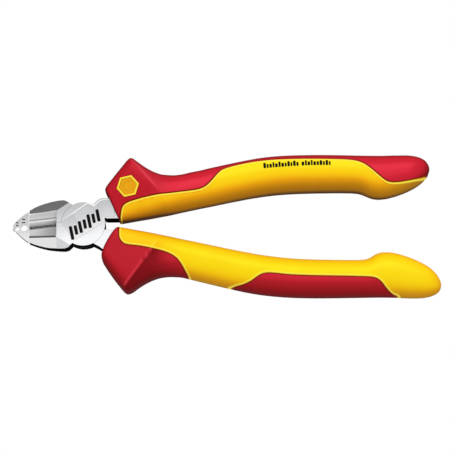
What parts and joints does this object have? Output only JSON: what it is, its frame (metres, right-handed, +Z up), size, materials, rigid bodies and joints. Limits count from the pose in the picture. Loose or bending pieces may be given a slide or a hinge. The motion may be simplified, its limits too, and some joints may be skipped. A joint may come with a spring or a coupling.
{
  "type": "diagonal cutting pliers",
  "caption": "Insulated diagonal cutting pliers with a stripping nose and a half-lap joint that opens and closes the bevelled cutting edges.",
  "frame": {"origin": "bottom centre of the tool's bounding box, lying flat and closed", "axes": "+X from the nose towards the handle ends, +Y to the side of the handle with the badge, +Z up, along the pivot"},
  "size_m": [0.1709, 0.058, 0.0178],
  "materials": {
    "steel": "satin ground tool steel, dark flanks",
    "rivet_steel": "plain steel, riveted flush",
    "yellow_soft": "moulded yellow insulation, smooth",
    "red_shell": "moulded red insulation, semi-gloss",
    "core": "hard moulded insulation",
    "badge": "moulded yellow inlay"
  },
  "bodies": {
    "front": {"front_half": "steel", "pivot_rivet": "rivet_steel", "upper_core": "core", "upper_body": "yellow_soft", "upper_shell": "red_shell", "guard_badge": "badge"},
    "rear": {"rear_half": "steel", "lower_core": "core", "lower_body": "yellow_soft", "lower_guard": "red_shell", "lower_back": "red_shell"}
  },
  "joints": [
    {"name": "pivot", "type": "hinge", "parent": "front", "child": "rear", "pos_m": [-0.0572, 0.0003, 0.0089], "axis": [0, 0, -1], "range_deg": [0, 38]}
  ]
}
